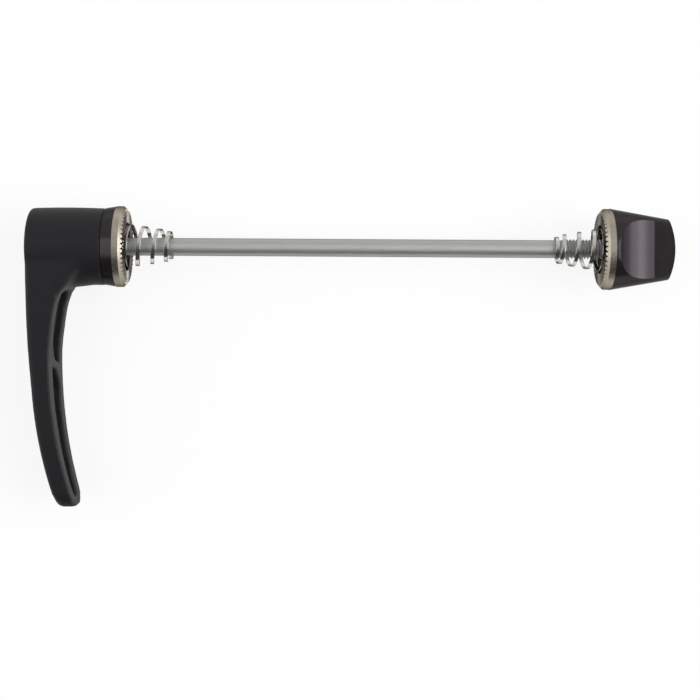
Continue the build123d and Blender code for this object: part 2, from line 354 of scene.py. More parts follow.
@dataclass(frozen=True)
class AnodisedAluminium(Finish):
    """Turned aluminium, dyed black and sealed: a glossy skin with faint turning lines round the axis.

    The real lines are about 0.05 mm apart and too fine to show, so they are drawn at line_mm.
    """

    name: str = "anodised_aluminium_black"
    colour: str = "#3a3639"
    roughness: float = 0.22
    metallic: float = 0.72
    # The grey edge tint dims the reflections at grazing angles: painted shade standing in for the shaded floor
    # beside the part.
    edge_tint: str = "#8a8a8a"
    smoother: float = 0.03
    relief: float = 0.12
    line_mm: float = 1.885
    line_depth_mm: float = 0.004
    drift_mm: float = 2.5

    def detail(self, nodes: Nodes) -> None:
        """Adds the turning lines and a drift of the gloss.

        Args:
            nodes: The material's nodes.
        """
        lines = add_node(nodes.tree, "ShaderNodeTexWave", {
            "Vector": nodes.where, "Scale": lines_per_metre(self.line_mm), "Distortion": 0.6, "Detail": 1.0},
            wave_type="BANDS", bands_direction="X", wave_profile="SIN")
        drift = add_node(nodes.tree, "ShaderNodeTexNoise", {
            "Vector": nodes.where, "Scale": per_metre(self.drift_mm), "Detail": 4.0})
        self.bump(nodes, lines.outputs["Fac"], self.line_depth_mm)
        self.vary(nodes, drift.outputs["Fac"])


@dataclass(frozen=True)
class NickelSteel(Finish):
    """Pressed steel under warm satin nickel: bright on the rim, pebbled on the teeth, whose duller tone also
    holds painted shade, and painted shade nearly black in the valleys between them.

    Each fade is the share of a size at which one look has gone over into the next.
    """

    name: str = "pressed_steel_nickel_plated"
    colour: str = "#9c9487"
    roughness: float = 0.34
    metallic: float = 1.0
    # The dark edge tint dims the reflections at grazing angles: painted shade standing in for the shaded floor
    # beside the ring.
    edge_tint: str = "#505050"
    smoother: float = 0.06
    rougher: float = 0.1
    relief: float = 0.35
    paler: str = "#beb6a8"
    # The teeth's tone: their duller finish, darkened further as painted shade.
    tooth_colour_and_shade: str = "#7f7a74"
    # The valleys' colour: painted shade, nearly black, between the teeth.
    valley_shade_colour: str = "#0d0c0b"
    crest_x_mm: float = 0.0
    towards: int = 1
    face_radius_mm: float = 9.07
    face_fade: float = 0.985
    chamfer_slope: float = 0.98
    tooth_radius_mm: float = 9.53
    tooth_fade: float = 0.99
    valley_mm: float = 0.42
    valley_fade: float = 0.55
    pebble_mm: float = 0.5
    pebble_depth_mm: float = 0.03
    drift_mm: float = 2.2

    def detail(self, nodes: Nodes) -> None:
        """Adds the pebbled plating, the teeth's darker tone, partly their duller finish and partly painted
        shade, and the painted shade in the valleys between them.

        Args:
            nodes: The material's nodes.
        """
        tree = nodes.tree
        pebbles = add_node(tree, "ShaderNodeTexNoise", {
            "Vector": nodes.where, "Scale": per_metre(self.pebble_mm), "Detail": 3.0}).outputs["Fac"]
        drift = add_node(tree, "ShaderNodeTexNoise", {
            "Vector": nodes.where, "Scale": per_metre(self.drift_mm), "Detail": 3.0}).outputs["Fac"]
        self.bump(nodes, pebbles, self.pebble_depth_mm)
        self.vary(nodes, pebbles)
        colour = self.mottle(nodes, drift, self.paler)
        radius = self.radius(nodes)
        sizes_mm = (self.face_radius_mm, self.tooth_radius_mm, self.valley_mm)
        face, tooth, valley = (size * MM for size in sizes_mm)
        # The toothed face takes a darker tone: partly the duller pressed teeth, partly painted shade.
        toothed = self.step(tree, radius, face, face * self.face_fade)
        within = self.step(tree, radius, tooth, tooth * self.tooth_fade)
        # These mark the valleys between the teeth, which get painted shade.
        deep = self.step(tree, self.depth(nodes, radius), valley * self.valley_fade, valley)
        between = add_node(tree, "ShaderNodeMath", {0: deep, 1: within}, operation="MULTIPLY").outputs[0]
        # Mixes in the teeth's darker tone and the painted shade of the valleys.
        for share, other in ((toothed, self.tooth_colour_and_shade), (between, self.valley_shade_colour)):
            colour = add_node(tree, "ShaderNodeMix", {
                "Factor": share, "A": colour, "B": linear(other)}, data_type="RGBA").outputs[2]
        tree.links.new(colour, nodes.shader.inputs["Base Color"])

    def radius(self, nodes: Nodes) -> NodeSocket:
        """Measures how far a point lies from the rod's axis.

        Args:
            nodes: The material's nodes.

        Returns:
            The distance, in metres.
        """
        tree, across = nodes.tree, (0, 1, 1)
        off_axis = add_node(tree, "ShaderNodeVectorMath", {0: nodes.where, 1: across}, operation="MULTIPLY")
        length = add_node(tree, "ShaderNodeVectorMath", {0: off_axis.outputs[0]}, operation="LENGTH")
        return length.outputs["Value"]

    def depth(self, nodes: Nodes, radius: NodeSocket) -> NodeSocket:
        """Measures how far a point lies below the crests of the teeth and their run-out on the chamfer.

        Args:
            nodes: The material's nodes.
            radius: The distance from the rod's axis.

        Returns:
            The depth, in metres.
        """
        tree = nodes.tree
        x = add_node(tree, "ShaderNodeSeparateXYZ", {"Vector": nodes.where}).outputs["X"]
        crest_x, face = self.crest_x_mm * MM * self.towards, self.face_radius_mm * MM
        below = add_node(tree, "ShaderNodeMath", {
            0: x, 1: -self.towards, 2: crest_x}, operation="MULTIPLY_ADD").outputs[0]
        past = add_node(tree, "ShaderNodeMath", {0: radius, 1: face}, operation="SUBTRACT").outputs[0]
        run_out = add_node(tree, "ShaderNodeMath", {0: past, 1: 0.0}, operation="MAXIMUM").outputs[0]
        return add_node(tree, "ShaderNodeMath", {
            0: run_out, 1: -self.chamfer_slope, 2: below}, operation="MULTIPLY_ADD").outputs[0]

    def step(self, tree: NodeTree, value: NodeSocket, start: float, end: float) -> NodeSocket:
        """Makes a soft step from none to all.

        Args:
            tree: The material's nodes.
            value: What is measured.
            start: The measure where the step is none.
            end: The measure where it is all.

        Returns:
            The step, from 0 to 1.
        """
        stepped = add_node(tree, "ShaderNodeMapRange", {
            "Value": value, "From Min": start, "From Max": end}, interpolation_type="SMOOTHSTEP")
        return stepped.outputs["Result"]


@dataclass(frozen=True)
class RodSteel(Finish):
    """Drawn steel, ground and dull plated: satin grey, with faint long scratches from the axle around it."""

    name: str = "drawn_steel_satin"
    colour: str = "#aeafad"
    roughness: float = 0.48
    metallic: float = 0.78
    # The dark edge tint dims the reflections at grazing angles: painted shade standing in for the shaded floor
    # beside the rod.
    edge_tint: str = "#4c4c4c"
    anisotropy: float = 0.5
    smoother: float = 0.08
    rougher: float = 0.1
    relief: float = 0.25
    paler: str = "#bebfbd"
    grain_turn: float = 0.25
    scratch_length_mm: float = 9.0
    scratch_width_mm: float = 0.3
    scratch_depth_mm: float = 0.01

    def detail(self, nodes: Nodes) -> None:
        """Adds scratches stretched along the rod.

        Args:
            nodes: The material's nodes.
        """
        across = per_metre(self.scratch_width_mm)
        stretched = add_node(nodes.tree, "ShaderNodeMapping", {
            "Vector": nodes.where, "Scale": (per_metre(self.scratch_length_mm), across, across)}).outputs[0]
        scratches = add_node(nodes.tree, "ShaderNodeTexNoise", {
            "Vector": stretched, "Scale": 1.0, "Detail": 5.0, "Roughness": 0.6}).outputs["Fac"]
        self.bump(nodes, scratches, self.scratch_depth_mm)
        self.vary(nodes, scratches)
        self.mottle(nodes, scratches, self.paler)
        around = add_node(nodes.tree, "ShaderNodeTangent", {}, direction_type="RADIAL", axis="X")
        nodes.tree.links.new(around.outputs["Tangent"], nodes.shader.inputs["Tangent"])
        nodes.shader.inputs["Anisotropic Rotation"].default_value = self.grain_turn


@dataclass(frozen=True)
class SpringWire(Finish):
    """Drawn spring wire under bright nickel: a clear gleam, slightly broken by the die marks."""

    name: str = "spring_wire_bright_nickel"
    colour: str = "#d8d5ce"
    roughness: float = 0.14
    metallic: float = 1.0
    # The dark edge tint dims the reflections at grazing angles: painted shade standing in for the shaded floor
    # beside the spring.
    edge_tint: str = "#3a3a3a"
    smoother: float = 0.03
    rougher: float = 0.04
    mark_mm: float = 2.5

    def detail(self, nodes: Nodes) -> None:
        """Adds the drift of gloss along the wire.

        Args:
            nodes: The material's nodes.
        """
        marks = add_node(nodes.tree, "ShaderNodeTexNoise", {
            "Vector": nodes.where, "Scale": per_metre(self.mark_mm), "Detail": 3.0})
        self.vary(nodes, marks.outputs["Fac"])


@dataclass(frozen=True)
class MachinedSteel(Finish):
    """Plain turned and hobbed steel inside the barrel, with tool lines round the axis.

    The real lines are about 0.1 mm apart and too fine to show, so they are drawn at line_mm.
    """

    name: str = "machined_steel_plain"
    colour: str = "#8d8d8e"
    roughness: float = 0.34
    metallic: float = 1.0
    rougher: float = 0.08
    relief: float = 0.3
    line_mm: float = 1.571
    line_depth_mm: float = 0.006

    def detail(self, nodes: Nodes) -> None:
        """Adds the tool lines.

        Args:
            nodes: The material's nodes.
        """
        lines = add_node(nodes.tree, "ShaderNodeTexWave", {
            "Vector": nodes.where, "Scale": lines_per_metre(self.line_mm), "Distortion": 1.2, "Detail": 2.0},
            wave_type="BANDS", bands_direction="X", wave_profile="SIN")
        self.bump(nodes, lines.outputs["Fac"], self.line_depth_mm)
        self.vary(nodes, lines.outputs["Fac"])


@dataclass(frozen=True)
class PlainPolymer(Finish):
    """Unpainted engineering polymer, turned or moulded: waxy and pale, with a faint cloudiness."""

    paler: str = "#ffffff"
    cloud_mm: float = 2.0

    def detail(self, nodes: Nodes) -> None:
        """Adds the cloudiness.

        Args:
            nodes: The material's nodes.
        """
        cloud = add_node(nodes.tree, "ShaderNodeTexNoise", {
            "Vector": nodes.where, "Scale": per_metre(self.cloud_mm), "Detail": 2.0})
        self.vary(nodes, cloud.outputs["Fac"])
        self.mottle(nodes, cloud.outputs["Fac"], self.paler)


NYLON = MouldedNylon()
ANODISED = AnodisedAluminium()
NICKEL = NickelSteel()
NUT_NICKEL = NickelSteel(name="pressed_steel_nickel_plated_nut", crest_x_mm=117.1, towards=-1)
ROD_STEEL = RodSteel()
WIRE = SpringWire()
MACHINED = MachinedSteel()
ACETAL = PlainPolymer("acetal_ivory_turned", "#ddd8ca", 0.42, paler="#e8e4d9")
LOCK_NYLON = PlainPolymer("nylon_natural_moulded", "#dad9d3", 0.45, paler="#e6e5e0")


@dataclass
class Piece:
    """A piece of the scene that stands for a CAD node."""

    name: str
    node: str
    body: Body
    slot: str
    finish: Finish
    flat_below_deg: float = 40.0

    def dress(self, mesh: Mesh) -> Object:
        """Places the piece's mesh, gives it its finish and ties it to the frame.

        Args:
            mesh: The finished mesh.

        Returns:
            The piece.
        """
        mesh.shade_smooth()
        mesh.set_sharp_from_angle(angle=math.radians(self.flat_below_deg))
        mesh.materials.clear()
        mesh.materials.append(self.finish.material())
        piece = place(self.name, mesh)
        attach(piece, self.body.value)
        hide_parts(self.node)
        log.info("%s: %d faces, for %s", self.name, len(mesh.polygons), self.node)
        return piece


@dataclass
class Rod(Piece):
    """The rod, with its rolled M5 thread as a real helix."""

    shank_d_mm: float = 4.43
    crest_d_mm: float = 4.87
    root_d_mm: float = 3.98
    pitch_mm: float = 0.8
    root_share: float = 0.125
    crest_share: float = 0.44
    thread_length_mm: float = 23.7
    lead_turns: int = 3
    runout_mm: float = 1.3
    runout_lead: float = 1 / 3
    end_chamfer_mm: float = 0.5
    flange_x_mm: float = -6.35
    steps_per_turn: int = 40
    weld_mm: float = 0.0016

    def build(self) -> Object:
        """Makes the thread and draws the shank out of it.

        Returns:
            The finished rod.
        """
        low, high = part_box(self.node)
        start = high.x - self.thread_length_mm * MM
        bm = bmesh.new()
        self.add_thread(bm, start, high.x)
        self.add_shank(bm, start - self.pitch_mm * MM, low.x)
        bmesh.ops.recalc_face_normals(bm, faces=bm.faces)
        return self.dress(to_mesh(bm, self.name))

    def rim(self, bm: BMesh, x: float) -> list[BMEdge]:
        """Returns the open edges at one place along the rod."""
        return [e for e in bm.edges if e.is_boundary and all(abs(v.co.x - x) < NEAR for v in e.verts)]

    def add_thread(self, bm: BMesh, start: float, end: float) -> None:
        """Screws one pitch of the thread's profile along the rod and trims it.

        Args:
            bm: The mesh to add to.
            start: Where the thread starts, in metres.
            end: The rod's end, in metres.
        """
        pitch, runout, weld = (size * MM for size in (self.pitch_mm, self.runout_mm, self.weld_mm))
        crest, root, shank = (d * MM / 2 for d in (self.crest_d_mm, self.root_d_mm, self.shank_d_mm))
        turns = self.lead_turns + math.ceil((end - start) / pitch) + 1
        profile = ((0, root), (self.root_share, root), (self.crest_share, crest),
                   (1 - self.crest_share, crest), (1 - self.root_share, root), (1, root))
        first = start - self.lead_turns * pitch
        verts = [bm.verts.new((first + share * pitch, 0, radius)) for share, radius in profile]
        edges = [bm.edges.new(pair) for pair in zip(verts, verts[1:])]
        bmesh.ops.spin(bm, geom=verts + edges, cent=(0, 0, 0), axis=(1, 0, 0),
                       dvec=(pitch / self.steps_per_turn, 0, 0), angle=math.tau * turns,
                       steps=turns * self.steps_per_turn)
        bmesh.ops.remove_doubles(bm, verts=bm.verts, dist=weld)
        chamfer_x = end - self.end_chamfer_mm * MM
        run_from = start - runout * self.runout_lead
        for vert in bm.verts:
            radius = math.hypot(vert.co.y, vert.co.z)
            wanted = shank + (radius - shank) * share_of(vert.co.x, run_from, run_from + runout)
            wanted = min(wanted, crest - max(vert.co.x - chamfer_x, 0))
            vert.co.y *= wanted / radius
            vert.co.z *= wanted / radius
        for x, side in ((start - pitch, -1), (end, 1)):
            bmesh.ops.bisect_plane(bm, geom=[*bm.verts, *bm.edges, *bm.faces], dist=weld / 2,
                                   plane_co=(x, 0, 0), plane_no=(side, 0, 0), clear_outer=True)
        bmesh.ops.edgeloop_fill(bm, edges=self.rim(bm, end))

    def add_shank(self, bm: BMesh, start: float, end: float) -> None:
        """Draws the shank out from the thread's first loop to the rod's end in the hub.

        Args:
            bm: The mesh, with the thread in it.
            start: X of the thread's first loop, in metres.
            end: X of the rod's end in the hub, in metres.
        """
        shank, crest = self.shank_d_mm * MM / 2, self.crest_d_mm * MM / 2
        flange, chamfer = self.flange_x_mm * MM, self.end_chamfer_mm * MM
        loop = self.rim(bm, start)
        for x, radius in ((flange, shank), (flange, crest), (end + chamfer, crest), (end, crest - chamfer)):
            loop, moved = extruded(bm, loop)
            for vert in moved:
                share = radius / math.hypot(vert.co.y, vert.co.z)
                vert.co = Vector((x, vert.co.y * share, vert.co.z * share))
        bmesh.ops.edgeloop_fill(bm, edges=loop)


@dataclass
class Spring(Piece):
    """A spring: a section drawn along a coil that its own kind gives, and hung off the rod's axis."""

    turns: float = 4.9
    steps_per_turn: int = 40
    flat_below_deg: float = 20.0
    off_axis_mm: float = 0.0

    def section(self) -> list[Point]:
        """Returns the section's corners, in millimetres along the rod and outwards."""
        raise NotImplementedError

    def coil(self) -> list[Spot]:
        """Returns the coil's points: place along the rod and radius in millimetres, and angle in radians."""
        raise NotImplementedError

    def build(self) -> Object:
        """Draws the section along the coil.

        Returns:
            The finished spring.
        """
        coil = self.coil()
        bm = bmesh.new()
        x, radius, angle = coil[0]
        turned = (math.cos(angle), math.sin(angle))
        verts = [bm.verts.new(((x + along) * MM, *((radius + out) * MM * side for side in turned)))
                 for along, out in self.section()]
        loop = [bm.edges.new(pair) for pair in zip(verts, verts[1:] + verts[:1])]
        bmesh.ops.edgeloop_fill(bm, edges=loop)
        for near, far in zip(coil, coil[1:]):
            loop, moved = extruded(bm, loop)
            self.carry(moved, *(after - before for before, after in zip(near, far)))
        bmesh.ops.edgeloop_fill(bm, edges=loop)
        bmesh.ops.translate(bm, verts=bm.verts, vec=(0, self.off_axis_mm * MM, 0))
        bmesh.ops.recalc_face_normals(bm, faces=bm.faces)
        return self.dress(to_mesh(bm, self.name))

    def carry(self, verts: list[BMVert], along: float, outwards: float, turn: float) -> None:
        """Moves a section on to the coil's next point.

        Args:
            verts: The section's corners.
            along: Millimetres along the rod.
            outwards: Millimetres away from the rod's axis.
            turn: Angle about the rod's axis, in radians.
        """
        for vert in verts:
            angle = math.atan2(vert.co.z, vert.co.y) + turn
            radius = math.hypot(vert.co.y, vert.co.z) + outwards * MM
            vert.co = Vector((vert.co.x + along * MM, radius * math.cos(angle), radius * math.sin(angle)))


@dataclass
class ConicalSpring(Spring):
    """The spring that keeps the skewer centred: flat strip, left-hand wound, its big end in a clamp ring."""

    end_deg: float = 152.0
    faces_lever: bool = False
    strip_width_mm: float = 0.95
    strip_thickness_mm: float = 0.25
    strip_round_mm: float = 0.06
    corner_steps: int = 2
    big_radius_mm: float = 5.4
    small_radius_mm: float = 3.12
    taper_power: float = 1.3
    open_pitch_mm: float = 3.65
    closed_pitch_mm: float = 0.6
    seat_turns: float = 0.65
    seat_ramp: float = 0.9
    tip_turns: float = 0.4
    tip_ramp: float = 1.1
    seat_x_mm: float = -0.855
    clamp_span_mm: float = 117.1

    def pitch(self, turn: float) -> float:
        """Gives the rise per turn, which closes up towards both ends.

        Args:
            turn: Turns from the big end.

        Returns:
            The rise, in millimetres.
        """
        from_seat = share_of(turn, self.seat_turns, self.seat_turns + self.seat_ramp)
        from_tip = share_of(self.turns - turn, self.tip_turns, self.tip_turns + self.tip_ramp)
        return self.closed_pitch_mm + (self.open_pitch_mm - self.closed_pitch_mm) * min(from_seat, from_tip)

    def section(self) -> list[Point]:
        """Lays out the strip's section.

        Returns:
            Its corners, which are rounded.
        """
        half_width = self.strip_width_mm / 2 - self.strip_round_mm
        half_thickness = self.strip_thickness_mm / 2 - self.strip_round_mm
        corners = []
        for quarter, (along, out) in enumerate(((1, 1), (-1, 1), (-1, -1), (1, -1))):
            for i in range(self.corner_steps + 1):
                angle = math.pi / 2 * (quarter + i / self.corner_steps)
                corners.append((along * half_width + self.strip_round_mm * math.cos(angle),
                                out * half_thickness + self.strip_round_mm * math.sin(angle)))
        return corners

    def coil(self) -> list[Spot]:
        """Winds the strip from its big end, turned round for the nut's side.

        Returns:
            Points of its centre line.
        """
        steps = round(self.turns * self.steps_per_turn)
        step = self.turns / steps
        side = -1 if self.faces_lever else 1
        x = self.seat_x_mm
        points = []
        for i in range(steps + 1):
            turn = i * step
            narrowing = share_of(turn, self.seat_turns, self.turns) ** self.taper_power
            radius = self.big_radius_mm - (self.big_radius_mm - self.small_radius_mm) * narrowing
            angle = math.radians(self.end_deg) + side * math.tau * (self.turns - turn)
            points.append((self.clamp_span_mm - x if self.faces_lever else x, radius, angle))
            x += self.pitch(turn + step / 2) * step
        return points


@dataclass
class ReturnSpring(Spring):
    """The spring in the barrel that holds the lever on its splines, and closes up as the lever is pulled."""

    wire_d_mm: float = 0.7
    wire_sides: int = 14
    radius_mm: float = 4.2
    pull_mm: float = 4.0
    joint: str = "lever_pull"

    def section(self) -> list[Point]:
        """Returns the round wire's section."""
        angles = [math.tau * i / self.wire_sides for i in range(self.wire_sides)]
        return [(self.wire_d_mm / 2 * math.cos(a), self.wire_d_mm / 2 * math.sin(a)) for a in angles]

    def coil(self) -> list[Spot]:
        """Winds the wire within its node's box.

        Returns:
            Points of its centre line.
        """
        low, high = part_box(self.node)
        start = low.x / MM + self.wire_d_mm / 2
        length = (high.x - low.x) / MM - self.wire_d_mm
        steps = round(self.turns * self.steps_per_turn)
        return [(start + length * i / steps, self.radius_mm, math.tau * self.turns * i / steps)
                for i in range(steps + 1)]

    def build(self) -> Object:
        """Makes the spring and gives it a mesh of its own.

        Returns:
            The finished spring.
        """
        piece = super().build()
        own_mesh(piece)
        return piece


@dataclass
class Turned(Piece):
    """A piece turned on a lathe: a profile spun round the rod's axis, its edges broken."""

    edge_mm: float = 0.12
    edge_segments: int = 3
    edge_above_deg: float = 20.0
    flat_weight: int = 100
    steps: int = 192

    def profile(self) -> list[Point]:
        """Returns the profile's corners: millimetres along the rod and radius in millimetres."""
        raise NotImplementedError

    def spun(self) -> Mesh:
        """Spins the profile round the rod's axis.

        Returns:
            The closed mesh.
        """
        bm = bmesh.new()
        verts = [bm.verts.new((x * MM, 0, radius * MM)) for x, radius in self.profile()]
        edges = [bm.edges.new(pair) for pair in zip(verts, verts[1:] + verts[:1])]
        bmesh.ops.spin(bm, geom=verts + edges, cent=(0, 0, 0), axis=(1, 0, 0), angle=math.tau,
                       steps=self.steps, use_merge=True)
        bmesh.ops.remove_doubles(bm, verts=bm.verts, dist=WELD)
        bmesh.ops.recalc_face_normals(bm, faces=bm.faces)
        return to_mesh(bm, self.name)

    def break_edges(self, piece: Object) -> None:
        """Rounds the edges that are sharper than edge_above_deg.

        Args:
            piece: The object to add the rounding to.
        """
        rounding = piece.modifiers.new("edges", "BEVEL")
        rounding.width = self.edge_mm * MM
        rounding.segments = self.edge_segments
        rounding.limit_method = "ANGLE"
        rounding.angle_limit = math.radians(self.edge_above_deg)

    def dress(self, mesh: Mesh) -> Object:
        """Dresses the piece and keeps its flat faces flat in the shading.

        Args:
            mesh: The finished mesh.

        Returns:
            The piece.
        """
        piece = super().dress(mesh)
        weighted = piece.modifiers.new("normals", "WEIGHTED_NORMAL")
        weighted.weight = self.flat_weight
        weighted.keep_sharp = True
        return piece

    def build(self) -> Object:
        """Turns the piece and breaks its edges.

        Returns:
            The finished piece.
        """
        blank = place(self.name + "_blank", self.spun())
        self.break_edges(blank)
        return self.dress(evaluated_mesh(blank))


@dataclass
class Cone(Turned):
    """The cone between the lever's barrel and its clamp ring."""

    back_x_mm: float = -5.28
    back_radius_mm: float = 9.56
    rim_x_mm: float = -2.5
    rim_radius_mm: float = 10.0
    boss_x_mm: float = -1.35
    boss_radius_mm: float = 6.05
    bore_radius_mm: float = 2.5

    def profile(self) -> list[Point]:
        """Returns the bore, the boss that carries the ring, and the cone."""
        return [(self.back_x_mm, self.bore_radius_mm), (self.boss_x_mm, self.bore_radius_mm),
                (self.boss_x_mm, self.boss_radius_mm), (self.rim_x_mm, self.boss_radius_mm),
                (self.rim_x_mm, self.rim_radius_mm), (self.back_x_mm, self.back_radius_mm)]


@dataclass
class Nut(Turned):
    """The conical nut, with its finger scallops milled from the turned blank."""

    end_x_mm: float = 133.9
    end_radius_mm: float = 7.58
    dome_radius_mm: float = 18.5
    dome_steps: int = 12
    hole_radius_mm: float = 3.6
    hole_x_mm: float = 128.5
    bore_radius_mm: float = 2.485
    boss_x_mm: float = 118.45
    boss_radius_mm: float = 6.05
    rim_x_mm: float = 119.6
    rim_radius_mm: float = 10.12
    half_thickness_mm: float = 4.4
    flat_length_mm: float = 3.9
    scallop_radius_mm: float = 14.0
    crease_deg: float = 7.0
    arc_steps: int = 64
    reach_mm: float = 12.0

    def profile(self) -> list[Point]:
        """Lays out the domed end, the stepped bore, the boss that carries the ring, and the cone.

        Returns:
            The profile's corners.
        """
        centre_x = self.end_x_mm - math.sqrt(self.dome_radius_mm ** 2 - self.end_radius_mm ** 2)
        corners = []
        for i in range(self.dome_steps + 1):
            radius = self.end_radius_mm + (self.hole_radius_mm - self.end_radius_mm) * i / self.dome_steps
            corners.append((centre_x + math.sqrt(self.dome_radius_mm ** 2 - radius ** 2), radius))
        return corners + [(self.hole_x_mm, self.hole_radius_mm), (self.hole_x_mm, self.bore_radius_mm),
                          (self.boss_x_mm, self.bore_radius_mm), (self.boss_x_mm, self.boss_radius_mm),
                          (self.rim_x_mm, self.boss_radius_mm), (self.rim_x_mm, self.rim_radius_mm)]

    def cutter(self, side: int) -> Object:
        """Makes the cutter of one scallop.

        Args:
            side: 1 for the upper scallop, -1 for the lower one.

        Returns:
            The cutter.
        """
        crease = math.radians(self.crease_deg)
        middle_x = self.end_x_mm - self.flat_length_mm + self.scallop_radius_mm * math.sin(crease)
        top = self.half_thickness_mm + self.scallop_radius_mm * math.cos(crease)
        far_x = self.end_x_mm + self.reach_mm
        outline = [(far_x, top), (far_x, self.half_thickness_mm)]
        for i in range(self.arc_steps + 1):
            angle = crease + (math.pi / 2 - crease) * i / self.arc_steps
            outline.append((middle_x - self.scallop_radius_mm * math.sin(angle),
                            top - self.scallop_radius_mm * math.cos(angle)))
        bm = bmesh.new()
        face = bm.faces.new([bm.verts.new((x * MM, -self.reach_mm * MM, side * z * MM)) for x, z in outline])
        drawn = bmesh.ops.extrude_face_region(bm, geom=[face])["geom"]
        bmesh.ops.translate(bm, verts=[g for g in drawn if isinstance(g, BMVert)],
                            vec=(0, 2 * self.reach_mm * MM, 0))
        bmesh.ops.recalc_face_normals(bm, faces=bm.faces)
        return place(self.name + "_cutter", to_mesh(bm, self.name + "_cutter"))

    def build(self) -> Object:
        """Turns the nut, mills its scallops and breaks its edges.

        Returns:
            The finished nut.
        """
        blank = place(self.name + "_blank", self.spun())
        cutters = [self.cutter(side) for side in (1, -1)]
        for cutter in cutters:
            cut = blank.modifiers.new("scallop", "BOOLEAN")
            cut.operation = "DIFFERENCE"
            cut.solver = "EXACT"
            cut.object = cutter
        self.break_edges(blank)
        mesh = evaluated_mesh(blank)
        for cutter in cutters:
            bpy.data.objects.remove(cutter)
        return self.dress(mesh)


@dataclass
class Slots:
    """The two narrow slots of the arm's inner face: a broad rim on either side, a thin slanting web between.

    The probe fields say from where the CAD arm is measured.
    """

    upper_rim_mm: float = 4.9
    lower_rim_mm: float = 4.2
    tip_rim_mm: float = 4.1
    taper_y_mm: Point = (-40.0, -60.0)
    edge_mm: float = 0.05
    sunk_mm: float = 0.01
    depth_mm: float = 2.9
    corner_mm: float = 2.2
    web_mm: float = 1.7
    web_y_mm: float = -29.4
    web_slope: float = 0.95
    web_reach_mm: Point = (10.0, 3.0)
    top_y_mm: float = -10.6
    end_y_mm: float = -62.7
    rims_y_mm: Point = (-10.1, -62.9)
    step_mm: float = 0.25
    overlap_mm: float = 0.3
    probe_half_mm: int = 10
    probe_out_mm: float = 20.0
    probe_depth_mm: float = 2.0

    def section(self, tree: BVHTree, y: float) -> Spot:
        """Measures the arm at one height.

        Args:
            tree: The CAD lever's faces.
            y: The height, in millimetres.

        Returns:
            The inner face's place along the rod, the arm's middle and half its width, in millimetres.
        """
        across = range(-self.probe_half_mm, self.probe_half_mm + 1)
        hits = (tree.ray_cast(Vector((0, y, z)) * MM, Vector((-1, 0, 0)))[0] for z in across)
        face = max(hit.x for hit in hits if hit) / MM
        inside = face - self.probe_depth_mm
        upper, lower = (
            tree.ray_cast(Vector((inside, y, self.probe_out_mm * way)) * MM, Vector((0, 0, -way)))[0].z / MM
            for way in (1, -1))
        return face, (upper + lower) / 2, (upper - lower) / 2

    def half_slot(self, y: float, side: float, rim: float) -> float:
        """Gives half the slot's width at one height, or a small overlap where there is no slot.

        Args:
            y: The height, in millimetres.
            side: Half the arm's width there, in millimetres.
            rim: The rim's width, in millimetres.

        Returns:
            Half the width, in millimetres.
        """
        web = self.web_mm / 2
        upper = min(self.top_y_mm - y, y - self.web_y_mm - web)
        lower = min(self.web_y_mm - web - y, y - self.end_y_mm)
        inside = max(upper, lower)
        if inside < 0:
            return -self.overlap_mm
        half = side - rim + (rim - self.tip_rim_mm) * ease(y, *self.taper_y_mm)
        corner = min(self.corner_mm, half)
        return half - corner + math.sqrt(corner ** 2 - (corner - min(inside, corner)) ** 2)

    def add_rims(self, bm: BMesh) -> None:
        """Adds the two rims, which also close the slots' ends and form the web, as shells in the mesh.

        Args:
            bm: The lever's mesh.
        """
        tree = BVHTree.FromBMesh(bm)
        start, end = self.rims_y_mm
        rows = round((start - end) / self.step_mm)
        shells = []
        for mirror, rim in ((1, self.upper_rim_mm), (-1, self.lower_rim_mm)):
            rings = []
            for i in range(rows + 1):
                y = start - i * self.step_mm
                side = self.section(tree, y)[2]
                within = mirror * self.half_slot(y, side, rim)
                ring = []
                for z, inner in ((within, True), (mirror * (side - self.edge_mm), False)):
                    skewed = y + self.web_slope * z * ease(abs(y - self.web_y_mm), *self.web_reach_mm)
                    face, middle, half = self.section(tree, skewed)
                    face -= self.sunk_mm
                    z = middle + (z if inner else mirror * (half - self.edge_mm))
                    low, high = Vector((face - self.depth_mm, skewed, z)), Vector((face, skewed, z))
                    ring += [bm.verts.new(at * MM) for at in ((low, high) if inner else (high, low))]
                rings.append(ring)
            shells += [bm.faces.new((a[i], a[(i + 1) % 4], b[(i + 1) % 4], b[i]))
                       for a, b in zip(rings, rings[1:]) for i in range(4)]
            shells += [bm.faces.new(rings[0]), bm.faces.new(rings[-1])]
        bmesh.ops.recalc_face_normals(bm, faces=shells)


